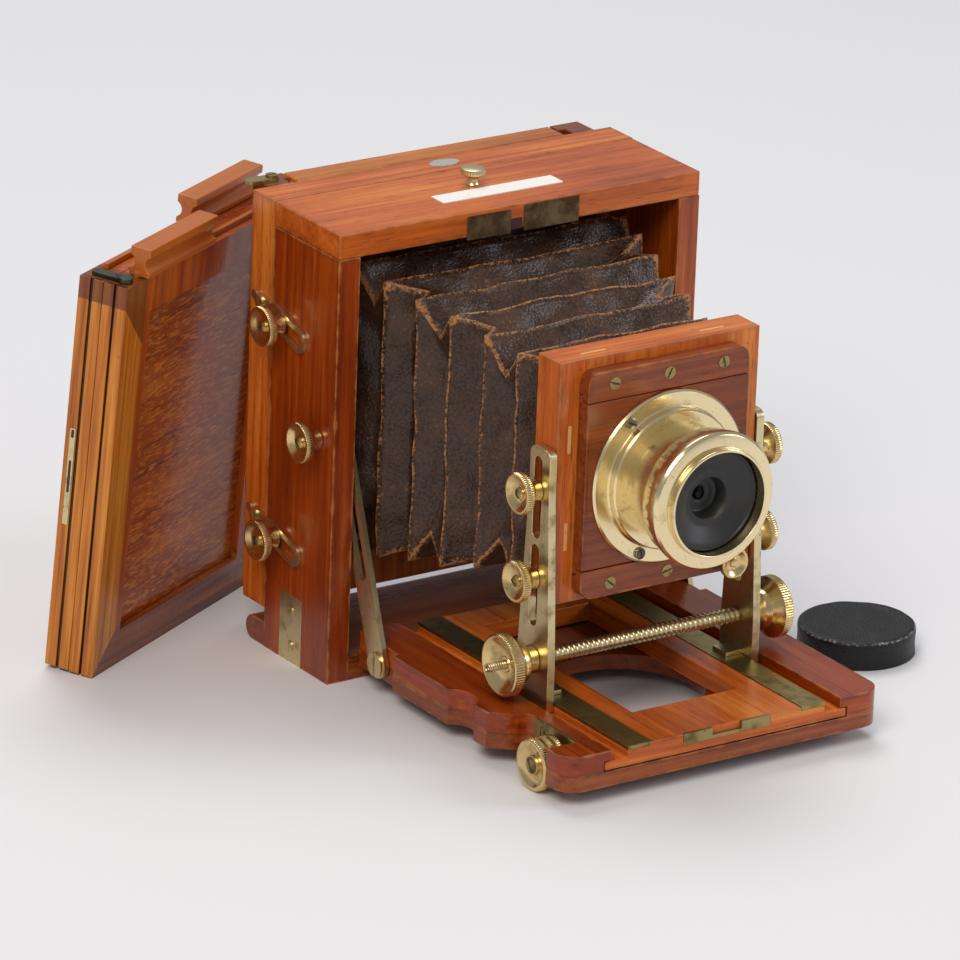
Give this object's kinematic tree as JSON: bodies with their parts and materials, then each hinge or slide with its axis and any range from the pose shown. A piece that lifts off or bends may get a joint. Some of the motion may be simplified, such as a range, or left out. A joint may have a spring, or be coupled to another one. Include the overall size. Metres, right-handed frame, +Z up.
{
  "type": "view camera",
  "caption": "Folding wooden view camera with brass fittings, leather bellows, rack focusing, swing back, rising and crossing front, lens cap and plate holder.",
  "frame": {"origin": "on the table, under the middle of the box's front face", "axes": "-Y is where the lens looks, +Z is up, +X is to the right as one faces the lens"},
  "size_m": [0.2814, 0.2487, 0.1712],
  "materials": {
    "mahogany": "french polished mahogany",
    "dark_mahogany": "older, darker polished mahogany",
    "satinwood": "pale polished hardwood",
    "brass": "lacquered brass, worn bright",
    "dull_brass": "unpolished dark brass",
    "bellows_leather": "dark brown grained leather, worn at the folds",
    "cap_leather": "black grained leather",
    "black_paint": "optical black paint",
    "glass": "polished glass",
    "ground_glass": "finely ground glass"
  },
  "bodies": {
    "box": {"left_side": "mahogany", "right_side": "mahogany", "top_board": "mahogany", "floor_board": "dark_mahogany", "corner_plates": "brass", "box_hinges": "dull_brass", "bellows": "bellows_leather"},
    "top_knob": {"top_knob": "brass"},
    "stay_knob_left": {"stay_knob_left": "brass"},
    "stay_knob_right": {"stay_knob_right": "brass"},
    "back_knob_upper_left": {"back_knob_upper_left": "brass"},
    "back_knob_lower_left": {"back_knob_lower_left": "brass"},
    "back_knob_upper_right": {"back_knob_upper_right": "brass"},
    "back_knob_lower_right": {"back_knob_lower_right": "brass"},
    "swing_back": {"back_frame": "mahogany", "screen_guides": "dark_mahogany"},
    "upper_slot_plates": {"upper_slot_plates": "brass"},
    "lower_slot_plates": {"lower_slot_plates": "brass"},
    "screen": {"screen_frame": "satinwood", "ground_glass": "ground_glass"},
    "screen_latch": {"screen_latch": "dull_brass"},
    "baseboard": {"lower_board": "mahogany", "left_rail": "mahogany", "right_rail": "mahogany", "pinion_bracket": "dull_brass", "base_hinges": "dull_brass"},
    "stay_left": {"stay_left": "brass"},
    "stay_right": {"stay_right": "brass"},
    "pinion": {"pinion": "dull_brass", "focus_knob": "brass"},
    "focus_frame": {"focus_frame": "mahogany", "focus_strips": "dull_brass", "racks": "brass", "frame_catch": "dull_brass"},
    "standard": {"left_upright": "brass", "right_upright": "brass", "cross_rod": "brass"},
    "clamp_knob_left": {"clamp_knob_left": "brass"},
    "clamp_knob_right": {"clamp_knob_right": "brass"},
    "lens_front": {"lens_frame": "mahogany", "front_battens": "dark_mahogany", "batten_screws": "dull_brass"},
    "rise_knob_upper_left": {"rise_knob_upper_left": "brass"},
    "rise_knob_lower_left": {"rise_knob_lower_left": "brass"},
    "rise_knob_upper_right": {"rise_knob_upper_right": "brass"},
    "rise_knob_lower_right": {"rise_knob_lower_right": "brass"},
    "panel_knob": {"panel_knob": "brass"},
    "lens_panel": {"lens_panel": "mahogany", "lens_flange": "brass", "lens_barrel": "brass", "lens_stop": "black_paint", "lens_glass": "glass"},
    "hood_ring": {"hood_ring": "brass"},
    "lens_cap": {"lens_cap": "cap_leather"},
    "plate_holder": {"near_half": "mahogany"},
    "far_half": {"far_half": "mahogany"},
    "near_shutter": {"near_shutter": "mahogany"},
    "far_shutter": {"far_shutter": "mahogany"},
    "holder_latch": {"holder_latch": "dull_brass"}
  },
  "joints": [
    {"name": "swing_back", "type": "hinge", "parent": "box", "child": "swing_back", "pos_m": [0, 0.0418, 0.165], "axis": [1, 0, 0], "range_deg": [0, 4.5], "deforming": ["bellows"]},
    {"name": "upper_plate_turn", "type": "hinge", "parent": "swing_back", "child": "upper_slot_plates", "pos_m": [0, 0.0474, 0.127], "axis": [1, 0, 0], "range_deg": [-6.17, 0]},
    {"name": "lower_plate_turn", "type": "hinge", "parent": "swing_back", "child": "lower_slot_plates", "pos_m": [0, 0.0474, 0.048], "axis": [1, 0, 0], "range_deg": [-10.08, 0]},
    {"name": "screen_lift", "type": "slide", "parent": "swing_back", "child": "screen", "axis": [0, 0, 1], "range_m": [0, 0.15]},
    {"name": "screen_latch_turn", "type": "hinge", "parent": "swing_back", "child": "screen_latch", "pos_m": [-0.0638, 0.0616, 0.165], "axis": [0, 0, 1], "range_deg": [-160, 0]},
    {"name": "base_fold", "type": "hinge", "parent": "box", "child": "baseboard", "pos_m": [0, -0.0012, 0.0056], "axis": [-1, 0, 0], "range_deg": [0, 12], "deforming": ["bellows"]},
    {"name": "stay_left_fold", "type": "hinge", "parent": "baseboard", "child": "stay_left", "pos_m": [0, -0.017, 0.012], "axis": [-1, 0, 0], "range_deg": [-13, 1]},
    {"name": "stay_right_fold", "type": "hinge", "parent": "baseboard", "child": "stay_right", "pos_m": [0, -0.017, 0.012], "axis": [-1, 0, 0], "range_deg": [-13, 1]},
    {"name": "focus_slide", "type": "slide", "parent": "baseboard", "child": "focus_frame", "axis": [0, -1, 0], "range_m": [0, 0.025], "deforming": ["bellows"]},
    {"name": "pinion_turn", "type": "hinge", "parent": "baseboard", "child": "pinion", "pos_m": [0, -0.112, 0.0092], "axis": [1, 0, 0], "range_deg": [-2, 399.9]},
    {"name": "standard_slide", "type": "slide", "parent": "focus_frame", "child": "standard", "axis": [0, -1, 0], "range_m": [-0.02, 0.015], "deforming": ["bellows"]},
    {"name": "clamp_knob_left_turn", "type": "hinge", "parent": "standard", "child": "clamp_knob_left", "pos_m": [0, -0.08, 0.0325], "axis": [1, 0, 0], "continuous": true},
    {"name": "clamp_knob_right_turn", "type": "hinge", "parent": "standard", "child": "clamp_knob_right", "pos_m": [0, -0.08, 0.0325], "axis": [1, 0, 0], "continuous": true},
    {"name": "front_rise", "type": "slide", "parent": "standard", "child": "lens_front", "axis": [0, 0, 1], "range_m": [-0.011, 0.009], "deforming": ["bellows"]},
    {"name": "rise_knob_upper_left_turn", "type": "hinge", "parent": "lens_front", "child": "rise_knob_upper_left", "pos_m": [0, -0.079, 0.0935], "axis": [1, 0, 0], "continuous": true},
    {"name": "rise_knob_lower_left_turn", "type": "hinge", "parent": "lens_front", "child": "rise_knob_lower_left", "pos_m": [0, -0.079, 0.0617], "axis": [1, 0, 0], "continuous": true},
    {"name": "rise_knob_upper_right_turn", "type": "hinge", "parent": "lens_front", "child": "rise_knob_upper_right", "pos_m": [0, -0.079, 0.0935], "axis": [1, 0, 0], "continuous": true},
    {"name": "rise_knob_lower_right_turn", "type": "hinge", "parent": "lens_front", "child": "rise_knob_lower_right", "pos_m": [0, -0.079, 0.0617], "axis": [1, 0, 0], "continuous": true},
    {"name": "panel_knob_turn", "type": "hinge", "parent": "lens_front", "child": "panel_knob", "pos_m": [0.027, -0.091, 0.0596], "axis": [0, 1, 0], "continuous": true},
    {"name": "cross_shift", "type": "slide", "parent": "lens_front", "child": "lens_panel", "axis": [1, 0, 0], "range_m": [-0.005, 0.005]},
    {"name": "hood_turn", "type": "hinge", "parent": "lens_panel", "child": "hood_ring", "pos_m": [0, -0.107, 0.095], "axis": [0, 1, 0], "continuous": true},
    {"name": "stay_knob_left_turn", "type": "hinge", "parent": "box", "child": "stay_knob_left", "pos_m": [0, 0.0108, 0.0878], "axis": [1, 0, 0], "continuous": true},
    {"name": "back_knob_upper_left_turn", "type": "hinge", "parent": "box", "child": "back_knob_upper_left", "pos_m": [0, 0.034, 0.123], "axis": [1, 0, 0], "continuous": true},
    {"name": "back_knob_lower_left_turn", "type": "hinge", "parent": "box", "child": "back_knob_lower_left", "pos_m": [0, 0.034, 0.044], "axis": [1, 0, 0], "continuous": true},
    {"name": "stay_knob_right_turn", "type": "hinge", "parent": "box", "child": "stay_knob_right", "pos_m": [0, 0.0108, 0.0878], "axis": [1, 0, 0], "continuous": true},
    {"name": "back_knob_upper_right_turn", "type": "hinge", "parent": "box", "child": "back_knob_upper_right", "pos_m": [0, 0.034, 0.123], "axis": [1, 0, 0], "continuous": true},
    {"name": "back_knob_lower_right_turn", "type": "hinge", "parent": "box", "child": "back_knob_lower_right", "pos_m": [0, 0.034, 0.044], "axis": [1, 0, 0], "continuous": true},
    {"name": "top_knob_turn", "type": "hinge", "parent": "box", "child": "top_knob", "pos_m": [-0.004, 0.0255, 0.165], "axis": [0, 0, 1], "continuous": true},
    {"name": "cap_lift", "type": "slide", "parent": "box", "child": "lens_cap", "axis": [0, 0, 1], "range_m": [0, 0.1]},
    {"name": "holder_lift", "type": "slide", "parent": "box", "child": "plate_holder", "axis": [0, 0, 1], "range_m": [0, 0.15]},
    {"name": "holder_open", "type": "hinge", "parent": "plate_holder", "child": "far_half", "pos_m": [-0.04668, 0.10668, 0.00076], "axis": [-0.0368, 0.0693, -0.9969], "range_deg": [0, 90]},
    {"name": "near_shutter_draw", "type": "slide", "parent": "plate_holder", "child": "near_shutter", "axis": [0.0368, -0.0693, 0.9969], "range_m": [0, 0.13]},
    {"name": "far_shutter_draw", "type": "slide", "parent": "far_half", "child": "far_shutter", "axis": [0.0368, -0.0693, 0.9969], "range_m": [0, 0.13]},
    {"name": "holder_latch_turn", "type": "hinge", "parent": "plate_holder", "child": "holder_latch", "pos_m": [-0.13578, 0.03995, 0.14586], "axis": [0.0368, -0.0693, 0.9969], "range_deg": [0, 80]}
  ],
  "couplings": [
    {"joint": "upper_plate_turn", "follows": "swing_back", "ratio": -1.26},
    {"joint": "lower_plate_turn", "follows": "swing_back", "ratio": -2.13},
    {"joint": "stay_left_fold", "follows": "base_fold", "ratio": -1.0258},
    {"joint": "stay_right_fold", "follows": "base_fold", "ratio": -1.0258},
    {"joint": "pinion_turn", "follows": "focus_slide", "rad_per_m": 277.78}
  ]
}
